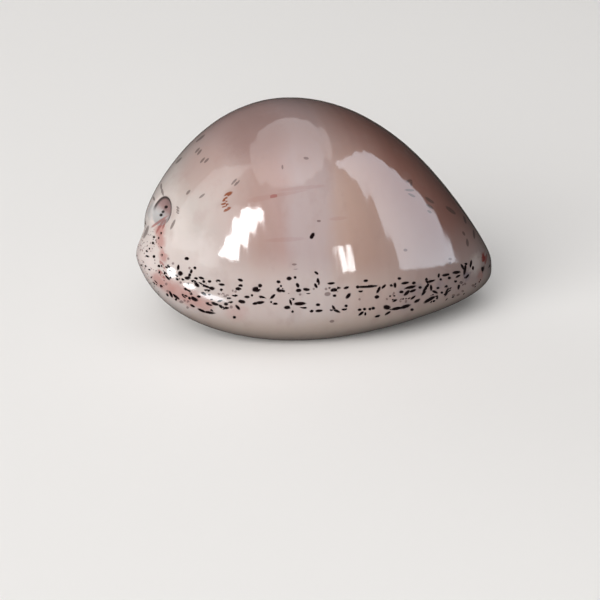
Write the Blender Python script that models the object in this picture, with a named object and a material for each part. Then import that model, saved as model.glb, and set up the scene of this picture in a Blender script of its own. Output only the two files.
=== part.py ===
"""A humped cowrie shell, resting on its base: one hollow piece with a toothed aperture underneath.

The shell lies along X. Its spire end points to -X and its narrow front end to +X. The outer lip is on the
-Y side and the columella on the +Y side. The shell is built in millimetres as a row of closed C-shaped
sections from end to end, then brought to metres with the origin at the bottom centre of its box.
"""

import math

import bmesh
import bpy
import numpy as np
from mathutils import Matrix

MM = 0.001

# The poles are where the two lips meet over the canals, at each end of the aperture, in millimetres.
REAR_POLE = (-31.8, 1.8, 23.4)
FRONT_POLE = (37.0, 0.0, 9.8)

# Seven stations, evenly spaced in angle from the rear pole to the front pole. Each value is the reach, in
# millimetres, from the line between the poles, which the round ends then scale down.
OUTER_LIP_WIDTH = [22.0, 20.6, 18.7, 18.2, 16.9, 14.0, 13.0]
COLUMELLA_WIDTH = [17.2, 23.5, 26.5, 24.5, 20.1, 16.8, 13.6]
CROWN_HEIGHT = [5.4, 17.2, 25.0, 27.1, 24.2, 15.9, 6.6]
BASE_DEPTH = [34.5, 27.9, 21.4, 16.2, 12.3, 11.2, 11.2]
MARGIN_DROP = [0.49, 0.41, 0.44, 0.32, 0.33, 0.37, 0.40]

# The aperture at the same stations: how far its middle line lies towards +Y, and half of its gap.
APERTURE_BEND = [3.5, 1.5, -2.0, -3.5, -3.0, -1.5, 0.0]
APERTURE_HALF_GAP = [1.5, 1.5, 1.6, 1.8, 2.1, 2.2, 1.6]

# Wall thicknesses, and the lips' section. The walls thin out to nothing towards the poles, over END_EASE.
SIDE_WALL = 1.9
CROWN_WALL = 1.6
REAR_WALL = 4.2
FRONT_WALL = 3.6
LIP_CORNER = 0.4
LIP_HEIGHT = 4.2
LIP_ROUNDING = 1.7
THROAT_FLARE = 0.6
FLOOR_HEIGHT = 4.9
CAVITY_MARGIN = 0.4
END_EASE = 0.4

# The body arches over the margin as a superellipse of this power, with knots at two angles from the crown.
ARCH_POWER = 2.27
ARCH_ANGLES = [30, 60]

# The knots between the margin and the lip. Each has its share of the way out from the lip, of the height up
# to the margin, and of the lobes' reach.
BASE_KNOTS = [(0.86, 0.42, 0.60), (0.56, 0.11, 0.90), (0.27, 0.00, 1.00)]

# The shell stands on two small flats, one on each lip, where its round base is worn to this height.
REST_LEVEL = 0.6

# The lips run past the poles as lobes beside each canal. Each has its reach in millimetres, and the place
# where it is full and the length over which it fades, as shares of the way from its own end of the shell.
OUTER_REAR_LOBE = (2.9, 0.075, 0.36)
OUTER_FRONT_LOBE = (0.5, 0.10, 0.22)
COLUMELLA_REAR_LOBE = (1.7, 0.16, 0.35)
COLUMELLA_FRONT_LOBE = (1.2, 0.10, 0.22)

TEETH = 25
TEETH_FROM = -26.5
TEETH_TO = 27.0
TOOTH_HEIGHT = 0.42

# The spire is sunk in a pit over the rear canal, with a low knob at its middle.
PIT_CENTRE = (-29.5, -2.3, 26.5)
PIT_AXIS = (-0.84, -0.36, 0.40)
PIT_RADIUS = 3.6
PIT_DEPTH = 2.0
KNOB_HEIGHT = 1.0
KNOB_RADIUS = 1.5

# The sections near each end, in degrees from the pole. Between them there are two for each tooth.
END_ANGLES = [2.5, 5, 8, 11, 14, 17.5, 21, 25, 29, 33]

# Each side of a section has 15 spans between 16 knots. A knot's place is its number, from 0 at the outer
# crown to 15 at the inner crown, and the lip's edge is at 8.
OUTER_SPANS, OUTER_STEPS = 7, 3
LIP_SPANS, LIP_STEPS = 3, 2
INNER_SPANS, INNER_STEPS = 5, 1
LAST_KNOT = OUTER_SPANS + LIP_SPANS + INNER_SPANS
OUTSIDE_PLACES = 5
TOOTH_PLACES = [6.4, 7.2, 8.5, 10.0]
TOOTH_STRENGTH = [0.0, 1.0, 1.0, 0.0]
TINY = 1e-6
WELD = 1e-3

SHELL_COLOUR = (0.62, 0.44, 0.36, 1.0)
SHELL_ROUGHNESS = 0.18


def along_stations(values, share):
    """A natural cubic spline through evenly spaced values, read at a share of the way from 0 to 1."""
    last = len(values) - 1
    system = 4 * np.eye(last + 1) + np.eye(last + 1, k=1) + np.eye(last + 1, k=-1)
    system[0], system[last] = np.eye(last + 1)[0], np.eye(last + 1)[last]
    bends = np.zeros(last + 1)
    bends[1:-1] = 6 * np.diff(values, 2)
    bends = np.linalg.solve(system, bends)
    k = min(int(share * last), last - 1)
    after = share * last - k
    before = 1 - after
    straight = values[k] * before + values[k + 1] * after
    return straight + (bends[k] * (before**3 - before) + bends[k + 1] * (after**3 - after)) / 6


def ease(x):
    """0 below 0, 1 above 1, and a smooth step between."""
    x = min(max(x, 0.0), 1.0)
    return x * x * (3 - 2 * x)


def lobe_reach(lobe, share):
    """How far one lobe runs past the shell's round end, at a share of the way from that end."""
    reach, full_at, length = lobe
    return reach * ease(share / full_at) * (1 - ease((share - full_at) / length))


def half_section(angle, side):
    """The points that one side of the section passes through, from the outer crown down, round the lip and
    up inside to the inner crown. The side is -1 for the outer lip and +1 for the columella.
    """
    share = angle / math.pi
    swell = math.sin(angle)
    thick = swell / math.hypot(swell, END_EASE)
    along = (1 - math.cos(angle)) / 2
    x_out = REAR_POLE[0] + (FRONT_POLE[0] - REAR_POLE[0]) * along
    x_in = REAR_POLE[0] + REAR_WALL + (FRONT_POLE[0] - REAR_POLE[0] - REAR_WALL - FRONT_WALL) * along
    pole_y = REAR_POLE[1] + (FRONT_POLE[1] - REAR_POLE[1]) * along
    pole_z = REAR_POLE[2] + (FRONT_POLE[2] - REAR_POLE[2]) * along
    if side < 0:
        width = swell * along_stations(OUTER_LIP_WIDTH, share)
        lobe = lobe_reach(OUTER_FRONT_LOBE, 1 - share) - lobe_reach(OUTER_REAR_LOBE, share)
    else:
        width = swell * along_stations(COLUMELLA_WIDTH, share)
        lobe = lobe_reach(COLUMELLA_FRONT_LOBE, 1 - share) - lobe_reach(COLUMELLA_REAR_LOBE, share)

    crown = pole_z + swell * along_stations(CROWN_HEIGHT, share)
    depth = swell * along_stations(BASE_DEPTH, share)
    margin = pole_z - depth * along_stations(MARGIN_DROP, share)
    base = pole_z - depth
    middle = swell * along_stations(APERTURE_BEND, share)
    edge = middle + side * thick * along_stations(APERTURE_HALF_GAP, share)
    lip = edge + side * thick * LIP_ROUNDING
    throat = edge + side * thick * THROAT_FLARE
    base_width = side * width - lip

    floor = base + FLOOR_HEIGHT * thick
    cavity_crown = crown - CROWN_WALL * thick
    cavity_margin = floor + CAVITY_MARGIN * (cavity_crown - floor)
    cavity_rise = cavity_crown - cavity_margin
    lift = max(cavity_margin - margin, 0.0) / max(crown - margin, TINY)
    cavity_side = side * (width * (1 - lift**ARCH_POWER) ** (1 / ARCH_POWER) - SIDE_WALL * thick)
    cavity_width = cavity_side - throat

    arch = [math.radians(degrees) for degrees in ARCH_ANGLES]
    arch = [(math.sin(a) ** (2 / ARCH_POWER), math.cos(a) ** (2 / ARCH_POWER)) for a in arch]
    outside = [(x_out, 0.0, crown)]
    outside += [(x_out, side * width * out, margin + (crown - margin) * up) for out, up in arch]
    outside += [(x_out + 0.25 * lobe, side * width, margin)]
    outside += [
        (x_out + reach * lobe, lip + out * base_width, base + up * (margin - base))
        for out, up, reach in BASE_KNOTS
    ]
    lips = [
        (x_out + lobe, lip, base + LIP_CORNER * thick),
        (0.85 * x_out + 0.15 * x_in + lobe, edge, base + 0.5 * LIP_HEIGHT * thick),
        (0.45 * x_out + 0.55 * x_in + 0.8 * lobe, throat, base + LIP_HEIGHT * thick),
        (0.10 * x_out + 0.90 * x_in + 0.3 * lobe, throat + 0.35 * cavity_width, floor + 0.2 * thick),
    ]
    inside = [(x_in, throat + 0.82 * cavity_width, floor + 0.25 * (cavity_margin - floor))]
    inside += [(x_in, cavity_side, cavity_margin)]
    inside += [(x_in, cavity_side * out, cavity_margin + cavity_rise * up) for out, up in reversed(arch)]
    inside += [(x_in, 0.0, cavity_crown)]
    return [(x, pole_y + y, z) for x, y, z in outside + lips + inside]


def whole_section(angle):
    """The knots of the closed section: down the outer lip's side, and back up the columella's side."""
    near = half_section(angle, -1)
    far = half_section(angle, 1)
    return np.array(near + far[-2:0:-1])


def closed_curve(knots, steps):
    """Points on a smooth closed curve through the knots, with so many steps in each knot's span."""
    ahead = np.roll(knots, -1, axis=0)
    chords = np.linalg.norm(ahead - knots, axis=1)
    bends = np.zeros_like(knots)
    if chords.min() > TINY:
        rates = (ahead - knots) / chords[:, None]
        behind = np.roll(chords, 1)
        system = np.diag(2 * (behind + chords))
        system += np.roll(np.diag(chords), 1, axis=1) + np.roll(np.diag(behind), -1, axis=1)
        bends = np.linalg.solve(system, 6 * (rates - np.roll(rates, 1, axis=0)))
    points = []
    for k, count in enumerate(steps):
        after = np.arange(count)[:, None] / count
        before = 1 - after
        turns = bends[k] * (before**3 - before) + np.roll(bends, -1, axis=0)[k] * (after**3 - after)
        points.append(knots[k] * before + ahead[k] * after + turns * chords[k] ** 2 / 6)
    return np.concatenate(points)


def ring_places(steps):
    """Each ring point's place: 0 at the outer crown, LAST_KNOT at the inner crown, the same on both sides."""
    places = np.concatenate([k + np.arange(count) / count for k, count in enumerate(steps)])
    return np.minimum(places, 2 * LAST_KNOT - places)


def outward(ring):
    """The section's outward direction at each ring point, across X."""
    run = np.roll(ring, -1, axis=0) - np.roll(ring, 1, axis=0)
    normals = np.stack([np.zeros(len(ring)), run[:, 2], -run[:, 1]], axis=1)
    return normals / np.maximum(np.linalg.norm(normals, axis=1), TINY)[:, None]


def station_angles():
    """Angles of the sections: close together at the ends, and two for each tooth between."""
    ends = [math.radians(degrees) for degrees in END_ANGLES]
    middle = (REAR_POLE[0] + FRONT_POLE[0]) / 2
    reach = (FRONT_POLE[0] - REAR_POLE[0]) / 2
    crests = np.linspace(TEETH_FROM, TEETH_TO, 2 * TEETH + 1)
    teeth = [math.acos((middle - x) / reach) for x in crests]
    return [0.0] + ends + teeth + [math.pi - angle for angle in reversed(ends)] + [math.pi]


def cut_teeth(ring, places, crest):
    """Raise the lips' inner edges on a crest, or sink them between two teeth."""
    strength = np.interp(places, TOOTH_PLACES, TOOTH_STRENGTH)
    height = TOOTH_HEIGHT if crest else -TOOTH_HEIGHT
    return ring + outward(ring) * (strength * height)[:, None]


def sink_spire(points, places):
    """Press the pit into the outer surface over the rear canal, and leave the spire's knob in it."""
    axis = np.array(PIT_AXIS) / np.linalg.norm(PIT_AXIS)
    away = points - PIT_CENTRE
    radius = np.linalg.norm(away - np.outer(away @ axis, axis), axis=1)
    pit = PIT_DEPTH * np.array([1 - ease(r / PIT_RADIUS) for r in radius])
    knob = KNOB_HEIGHT * np.array([1 - ease(r / KNOB_RADIUS) for r in radius])
    on_outside = (places < OUTSIDE_PLACES) & (points[:, 0] < 0)
    return points - np.outer((pit - knob) * on_outside, axis)


def shell_rings():
    """All the sections' points, as one array of rings, in millimetres."""
    half = [OUTER_STEPS] * OUTER_SPANS + [LIP_STEPS] * LIP_SPANS + [INNER_STEPS] * INNER_SPANS
    steps = half + half[::-1]
    places = ring_places(steps)
    rings = []
    for angle in station_angles():
        ring = closed_curve(whole_section(angle), steps)
        tooth = len(rings) - len(END_ANGLES) - 1
        if 0 <= tooth <= 2 * TEETH:
            ring = cut_teeth(ring, places, tooth % 2 == 0)
        ring = sink_spire(ring, places)
        ring[:, 2] = np.maximum(ring[:, 2], REST_LEVEL)
        rings.append(ring)
    return np.array(rings)


def skin(rings):
    """One closed mesh over the rings, in metres, with the origin at the bottom centre of its box."""
    mesh = bpy.data.meshes.new("cowrie_shell")
    bm = bmesh.new()
    rows = [[bm.verts.new(point) for point in ring] for ring in rings]
    for row, after in zip(rows, rows[1:]):
        for k in range(len(row)):
            bm.faces.new((row[k], row[k - 1], after[k - 1], after[k]))
    bmesh.ops.remove_doubles(bm, verts=bm.verts, dist=WELD)
    bmesh.ops.recalc_face_normals(bm, faces=bm.faces)
    lowest, highest = rings.min(axis=(0, 1)), rings.max(axis=(0, 1))
    centre = (lowest + highest) / 2
    bottom = Matrix.Translation((-centre[0], -centre[1], -lowest[2]))
    bm.transform(Matrix.Scale(MM, 4) @ bottom)
    bm.to_mesh(mesh)
    bm.free()
    mesh.shade_smooth()
    mesh.set_sharp_from_angle(angle=math.radians(60))
    return mesh


def shell_material():
    material = bpy.data.materials.new("glossy_shell")
    material.use_nodes = True
    surface = material.node_tree.nodes["Principled BSDF"]
    surface.inputs["Base Color"].default_value = SHELL_COLOUR
    surface.inputs["Roughness"].default_value = SHELL_ROUGHNESS
    surface.inputs["Metallic"].default_value = 0.0
    return material


def main():
    for thing in list(bpy.data.objects):
        bpy.data.objects.remove(thing, do_unlink=True)
    collection = bpy.data.collections.new("cowrie shell")
    bpy.context.scene.collection.children.link(collection)
    shell = bpy.data.objects.new("cowrie_shell", skin(shell_rings()))
    shell.data.materials.append(shell_material())
    collection.objects.link(shell)


main()
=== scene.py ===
"""A humped cowrie shell on a plain studio floor: the finely detailed shell that stands for the CAD shell.

The shell is drawn in millimetres from the same values as the CAD part, with finer sections, smooth teeth and
a detailed spire pit. Its colours and marks are procedural and are placed in the part's own frame.
"""

import math
import random

import bmesh
import bpy
import numpy as np
from mathutils import Matrix, Vector
from mathutils.bvhtree import BVHTree


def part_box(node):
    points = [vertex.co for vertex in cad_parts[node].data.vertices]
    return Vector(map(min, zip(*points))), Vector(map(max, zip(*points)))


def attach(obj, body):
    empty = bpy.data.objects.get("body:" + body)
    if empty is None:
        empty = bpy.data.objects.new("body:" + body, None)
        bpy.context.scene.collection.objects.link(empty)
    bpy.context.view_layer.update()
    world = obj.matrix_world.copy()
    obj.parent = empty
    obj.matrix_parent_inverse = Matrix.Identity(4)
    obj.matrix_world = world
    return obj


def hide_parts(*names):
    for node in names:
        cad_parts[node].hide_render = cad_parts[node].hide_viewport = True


bl_info = {
    "name": "Cowrie shell",
    "version": (1, 0, 0),
    "blender": (4, 5, 0),
    "location": "View3D > Sidebar > Shell",
    "description": "Builds a glossy spotted cowrie shell over its packed frame, and a studio around it",
    "category": "Add Mesh",
}

MM = 0.001
NODE = "cowrie_shell"

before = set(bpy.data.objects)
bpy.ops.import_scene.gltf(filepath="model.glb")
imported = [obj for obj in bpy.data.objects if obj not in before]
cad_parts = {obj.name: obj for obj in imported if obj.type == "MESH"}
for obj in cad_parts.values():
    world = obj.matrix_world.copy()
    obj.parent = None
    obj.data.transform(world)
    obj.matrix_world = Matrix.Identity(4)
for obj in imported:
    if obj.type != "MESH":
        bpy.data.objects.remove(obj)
NODE_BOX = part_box(NODE)
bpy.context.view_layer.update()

# The shell's form, in millimetres: its poles, and values at seven stations from the rear pole to the front.
REAR_POLE = (-31.8, 1.8, 23.4)
FRONT_POLE = (37.0, 0.0, 9.8)
OUTER_LIP_WIDTH = [22.0, 20.6, 18.7, 18.2, 16.9, 14.0, 13.0]
COLUMELLA_WIDTH = [17.2, 23.5, 26.5, 24.5, 20.1, 16.8, 13.6]
CROWN_HEIGHT = [5.4, 17.2, 25.0, 27.1, 24.2, 15.9, 6.6]
BASE_DEPTH = [34.5, 27.9, 21.4, 16.2, 12.3, 11.2, 11.2]
MARGIN_DROP = [0.49, 0.41, 0.44, 0.32, 0.33, 0.37, 0.40]
APERTURE_BEND = [3.5, 1.5, -2.0, -3.5, -3.0, -1.5, 0.0]
APERTURE_HALF_GAP = [1.5, 1.5, 1.6, 1.8, 2.1, 2.2, 1.6]
SIDE_WALL = 1.9
CROWN_WALL = 1.6
REAR_WALL = 4.2
FRONT_WALL = 3.6
LIP_CORNER = 0.4
LIP_HEIGHT = 4.2
LIP_ROUNDING = 1.7
THROAT_FLARE = 0.6
FLOOR_HEIGHT = 4.9
CAVITY_MARGIN = 0.4
END_EASE = 0.4
ARCH_POWER = 2.27
ARCH_ANGLES = [30, 60]
BASE_KNOTS = [(0.86, 0.42, 0.60), (0.56, 0.11, 0.90), (0.27, 0.00, 1.00)]
REST_LEVEL = 0.6
OUTER_REAR_LOBE = (2.9, 0.075, 0.36)
OUTER_FRONT_LOBE = (0.5, 0.10, 0.22)
COLUMELLA_REAR_LOBE = (1.7, 0.16, 0.35)
COLUMELLA_FRONT_LOBE = (1.2, 0.10, 0.22)
TEETH_FROM = -26.5
TEETH_TO = 27.0
PIT_CENTRE = (-29.5, -2.3, 26.5)
PIT_AXIS = (-0.84, -0.36, 0.40)
PIT_RADIUS = 3.6
KNOB_HEIGHT = 1.0
KNOB_RADIUS = 1.5
WHORL_PITCH = 1.05
WHORL_HEIGHT = 0.03
WHORLS_FROM = 0.6
WHORLS_FULL_SHARE = 0.6
WHORLS_FADE_SHARE = 0.3

# The sections: how many in each stretch from the rear pole, and how many points in each knot's span.
REAR_SECTIONS = 60
REAR_STRETCH = 20.0
NECK_SECTIONS = 15
TOOTH_SECTIONS = 10
FRONT_SECTIONS = 40
SPAN_STEPS = [18, 18, 18, 8, 8, 8, 8, 8, 8, 8, 3, 3, 3, 3, 3]
OUTSIDE_PLACES = 5
TOOTH_PLACES = [6.4, 7.2, 8.5, 10.0]
TOOTH_STRENGTH = [0.0, 1.0, 1.0, 0.0]
TINY = 1e-6
WELD = 1e-3

# Growth folds: faint ridges across the shell, as (wavelength, height, phase) in millimetres. They lean with
# the height above one level, bend in two long waves, and fade out towards the poles and the lips.
FOLDS = [(2.1, 0.0045, 0.3), (3.1, 0.0040, 1.9), (8.1, 0.008, 4.1), (13.0, 0.012, 2.2)]
FOLD_LEAN = 0.10
FOLD_LEVEL = 20.0
FOLD_BENDS = [(1.2, 9.0), (0.5, 5.0)]
FOLDS_FROM = -31.0
FOLDS_TO = 34.0
FOLDS_END_FADE = 4.0
FOLDS_LAST_PLACE = 5.5
FOLDS_PLACE_FADE = 1.5

# The spot band's lower and upper edge, as (x, z) in the part's frame, in millimetres.
BAND_LOWER = [(-36, 12.0), (-31, 10.0), (-24, 8.6), (-12, 9.6), (-6, 8.4), (6, 7.0), (20, 5.4), (36, 5.0)]
BAND_UPPER = [
    (-36, 24.0), (-31, 23.0), (-28, 19.0), (-22, 17.0), (-12, 16.5), (0, 15.4), (20, 13.5), (36, 13.0),
]

# Colours along the shell's back, as (x, colour), in millimetres and linear red, green and blue.
BACK_COLOURS = [
    (-36, (0.70, 0.64, 0.61)),
    (-31, (0.64, 0.57, 0.54)),
    (-26, (0.48, 0.42, 0.395)),
    (-20, (0.48, 0.38, 0.355)),
    (-15, (0.42, 0.285, 0.255)),
    (-11, (0.45, 0.31, 0.29)),
    (-8, (0.48, 0.385, 0.385)),
    (-3, (0.485, 0.385, 0.38)),
    (-0.5, (0.50, 0.36, 0.32)),
    (2, (0.49, 0.335, 0.285)),
    (6, (0.46, 0.31, 0.265)),
    (12, (0.45, 0.32, 0.29)),
    (20, (0.46, 0.345, 0.33)),
    (36, (0.50, 0.40, 0.385)),
]

# Marks seen in the photograph, each as the two ends of its middle line and its breadth, or a round one as its
# middle and breadth, in pixels of the photograph's 600 by 600 frame. The camera's ray through a pixel says
# where on the shell it lies.
BACK_SPOTS = [(313, 234.8, 311.4, 237, 3.0), (399.3, 278, 399.5, 279, 2.0)]
REAR_SPOTS = [
    (166, 207, 166.4, 207, 2.2), (163, 211.6, 163, 212, 2), (161, 215, 161.2, 215, 2.2), (161, 233, 1.8),
    (159, 238, 1.8), (154, 237, 1.8), (153, 243, 2), (161, 246, 161, 248, 1.8), (162, 254.5, 162, 256, 1.8),
    (163, 258, 165, 261.5, 1.9), (154, 256.5, 2.2), (159, 266, 2.1), (162, 266, 1.7),
    (165, 267.5, 168, 266, 2.8), (158.8, 270.5, 163, 275, 2), (164.4, 273, 2.4), (166, 276, 169, 279, 1.7),
    (170.4, 277.5, 1.8), (178.5, 266, 178, 269, 2), (180, 273.4, 180.6, 273.4, 3.8),
    (186.8, 257.8, 186.8, 259.3, 2.4), (194.8, 268, 2.2), (191.4, 270.5, 191, 272.5, 2),
    (190.4, 273.5, 188.8, 277.5, 2.2), (189, 278, 186, 278, 2.4), (178, 278.5, 178, 279.5, 2.2),
    (183, 279, 183, 279.4, 2), (192, 281, 195, 281.5, 1.9), (195.5, 278.4, 196.5, 278.4, 2.1),
    (200, 277.6, 203, 278.6, 1.8), (195.6, 283, 197.6, 285.6, 2.8), (203.8, 281.5, 2.3),
    (209.6, 281, 209.6, 281.8, 1.9), (217.4, 281, 219, 281.2, 2.2), (219.8, 284.4, 223.6, 284.7, 1.7),
    (200.5, 284.3, 208.8, 287.4, 1.9), (208.8, 288.9, 213, 288.4, 3), (204.8, 290.6, 209, 290.4, 2),
    (221.3, 289.8, 221.5, 290, 2.1), (185, 288.8, 187.5, 290, 1.8), (189, 291, 189.3, 291.4, 2),
    (190, 292.4, 191.6, 294.5, 1.7), (202.4, 293, 205.2, 294.6, 1.8), (161, 286, 162, 287, 1.8),
    (154, 283, 154, 284, 1.8), (167.3, 294.3, 167.3, 295.3, 2), (170, 292, 171.8, 296.6, 1.9),
    (173.6, 295, 178.2, 298.5, 2), (176, 299.4, 1.8), (183, 295, 185, 297, 1.9),
    (189.6, 297.8, 189.6, 299.4, 2.3), (192.3, 298, 196, 299.8, 3.2), (198.4, 296.2, 199.2, 297, 1.9),
    (198.6, 309.2, 205, 312, 1.8), (205, 312, 213.6, 313, 2), (211.6, 310.4, 212, 312, 2),
    (207, 303.4, 211, 304.6, 2.3), (212.4, 303, 217.6, 304.5, 2.2), (219.8, 305.6, 224, 308.6, 2.2),
    (225, 308, 228, 307.6, 1.9), (225.6, 303.8, 226.4, 304.2, 2.4), (229, 302.6, 232, 302, 1.4),
    (218.4, 301.3, 221.6, 300.5, 1.4), (236.6, 306, 239, 308.8, 2.1), (240, 301.2, 243.5, 302, 2.8),
    (233.4, 295.6, 236.4, 295.6, 1.6), (237.5, 288.2, 238.4, 289.5, 2.7), (240, 285.4, 241, 286, 2.3),
    (239.2, 279.7, 241.6, 280.5, 2), (234.4, 317, 234.6, 317.3, 2.2), (245.6, 297, 248.4, 297, 1.9),
    (191, 305, 194, 306.5, 1.5),
]
SIDE_SPOTS = [
    (255, 289.4, 257.8, 289.3, 4.6), (259.6, 285.6, 260.4, 285.7, 2.7), (260.4, 296.8, 264.6, 298.4, 2.3),
    (254, 303.7, 257, 303, 2.1), (257, 303, 262.6, 302.2, 2.3), (252.3, 292.2, 252.3, 293, 1.6),
    (252, 295.3, 1.6), (315.6, 272.2, 317.6, 273.8, 1.6), (288.4, 278.9, 289.6, 278.2, 2.9),
    (295, 277.5, 295, 277.7, 1.9), (278, 281.8, 279, 281.8, 2.4), (297.2, 284.4, 297.9, 286, 2.4),
    (297.6, 290.4, 299.6, 290.4, 2.7), (304.5, 289.2, 308.4, 289.6, 2.3), (307.6, 292.5, 308.8, 292.6, 2.6),
    (317.8, 279.4, 318.6, 283.6, 2.3), (315, 284.4, 316.4, 286.8, 2.1), (279.6, 289, 280.4, 290.4, 4.2),
    (282, 290.6, 284, 291.2, 1.6), (281, 286, 1.5), (274.2, 295, 271, 298.6, 2),
    (273.6, 303.5, 276.5, 303.9, 1.5), (271.3, 302, 1.4), (290.5, 299.6, 293.6, 299, 2),
    (290, 300.4, 291.2, 304.2, 1.7), (285.8, 307.6, 288.9, 307.4, 2.9), (295.6, 303.7, 304.2, 303.5, 2.6),
    (300.8, 306.6, 305.6, 307.7, 2), (292.5, 311.5, 292.5, 311.7, 1.7), (311, 311, 312, 311.2, 2),
    (316.6, 311, 321.2, 310.6, 2), (317.3, 304.8, 318.6, 304.8, 2.1), (328.4, 283.5, 333.6, 283.2, 1.6),
    (329.8, 288, 339.2, 287.9, 2.3), (332.4, 290.3, 336.6, 290.4, 3.6), (334, 295.6, 335.2, 295.6, 1.8),
    (345, 288.1, 347.6, 287.3, 1.9), (347.2, 297.4, 349.2, 294.6, 2.8), (349, 295.2, 350.8, 295.2, 1.6),
    (357.2, 287, 358, 287, 2.2), (358, 287.1, 377, 285.8, 2.1), (360, 290.9, 361.4, 290.9, 2.2),
    (364.8, 280.8, 366.6, 280.8, 1.9), (377.4, 292, 379.6, 288, 2.1), (376.3, 296.9, 377.5, 296.9, 2.6),
    (382.4, 287.6, 385, 285.4, 1.7), (331, 309.8, 332, 309.8, 1.5), (333, 306.4, 335, 310.2, 1.9),
    (334.5, 310, 339, 312, 1.7), (343, 309.4, 345.8, 309, 1.9), (345.8, 305.9, 346.3, 305.9, 2),
    (359.2, 309.8, 360, 309.8, 2.1), (359.4, 315, 362.6, 312.4, 1.8), (364.2, 309, 364.8, 309.3, 1.9),
    (365.3, 313, 365.3, 314.8, 1.3), (369.6, 309, 370.4, 309, 1.8), (372.7, 308.4, 373.5, 308.2, 2.2),
    (376, 316.5, 379, 315.8, 1.6),
]
FRONT_SPOTS = [
    (385.4, 306.8, 388.4, 307.9, 4), (386, 314.2, 389.6, 312, 1.6), (392.4, 309.2, 401, 307.9, 2.3),
    (401, 307.9, 409, 305.4, 2.6), (411.6, 309.6, 412.4, 309.6, 2), (402.4, 283.4, 407.6, 282.7, 1.9),
    (413.2, 282.9, 414.6, 282.9, 2.3), (391.2, 285.3, 392, 285.3, 1.8), (394.8, 284, 395.2, 286.4, 2.4),
    (405.8, 288.6, 414.6, 286.2, 2.6), (420, 287, 420, 288, 1.8), (400.9, 292, 401.9, 292, 2.3),
    (410.4, 291.5, 415, 290, 1.8), (405, 294.5, 408.6, 291.4, 2.5), (411.4, 298.8, 414.6, 296.4, 1.4),
    (415, 302, 419, 299.8, 2.1), (393, 301, 396.2, 300, 1.7), (426.4, 279.3, 426.9, 280.7, 2.4),
    (426.3, 281, 428.6, 283, 1.9), (428, 282, 434, 280.4, 1.8), (423.5, 291.5, 428.6, 284, 2.4),
    (422.4, 294.5, 425.5, 290.5, 2.2), (430.8, 286, 431.3, 289.8, 1.9), (433, 290.8, 437.2, 293, 1.7),
    (438.7, 274.6, 438.9, 276.4, 2), (443, 275.3, 448.6, 274.6, 2), (449.4, 277.4, 449.4, 278.4, 2),
    (440.6, 279.3, 440.6, 279.5, 1.8), (438, 287.6, 438, 288.4, 1.7), (446.3, 286, 446.3, 286.8, 1.8),
    (445.5, 295, 447.9, 289, 2.3), (441.9, 292.4, 441.9, 292.8, 1.7), (425, 302, 434.4, 297, 2.7),
    (431.6, 296.6, 432.6, 296, 1.9), (436.8, 296, 437.2, 298.4, 1.9), (433.3, 300.9, 434.3, 300.9, 1.9),
    (453.4, 272.6, 459.6, 272.2, 2.3), (456.4, 277, 459.6, 275.4, 1.7), (465.4, 265.6, 464.3, 273.6, 2.5),
    (461.3, 265, 464, 269.2, 1.7), (466, 263.4, 466, 264.4, 1.9), (471.2, 261.4, 470.5, 266, 2),
    (472.8, 267.4, 473.2, 268.6, 2), (465.4, 278, 468.6, 275, 1.6), (461.3, 282, 461.3, 283, 1.8),
    (458.8, 285.6, 458.6, 288.2, 2), (455.6, 281, 455.6, 281.6, 1.8), (482, 268.4, 483, 269.6, 3),
]
FAINT_SPOTS = [
    (168.2, 258.8, 1.7), (173, 263.5, 1.7), (189.6, 268, 1.8), (180.6, 282.5, 1.6), (205.6, 283.5, 1.5),
    (224.8, 296.2, 227.6, 295.4, 2), (223, 293.6, 223, 294.6, 1.6), (219, 293.7, 2), (235.6, 291.5, 1.6),
    (233, 290.6, 1.4), (166.3, 284, 1.8), (167.5, 291, 167.5, 291.6, 1.6), (181, 301.4, 182, 302.4, 2.2),
    (184.6, 300.6, 1.6), (188, 301.5, 1.8), (187.5, 307.5, 1.8), (231.3, 306.9, 2.2),
    (293, 264.4, 295.6, 264.4, 1.2), (293.7, 268.5, 297.2, 268.5, 1.1), (318, 221, 319.5, 221, 1.6),
    (305, 158, 307.4, 158.4, 1.8), (282.3, 165.6, 282.5, 168.4, 1.0), (300, 294.4, 1.7), (288.5, 294, 1.4),
    (313.8, 288.8, 1.4), (326.6, 294.2, 328.4, 294, 3.2), (326, 289, 1.8), (331, 321.4, 332.8, 321.3, 2),
    (359.4, 299.4, 1.5), (393.8, 293, 393.8, 295.4, 1.7), (400.6, 300, 400.6, 301.4, 1.6),
    (406, 300.4, 406, 302, 1.5), (386.9, 299, 1.4), (453.2, 295.4, 454, 295.2, 1.7),
    (457.4, 295, 459, 294.6, 1.6), (462.5, 291.3, 463, 291, 1.5), (465, 283.8, 465, 284, 1.7),
    (472.8, 286, 473.4, 285, 1.8), (405, 249.8, 406, 250.2, 2), (450, 258.6, 450.2, 259.4, 2),
    (450, 262.6, 450, 263, 1.8),
]
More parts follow.
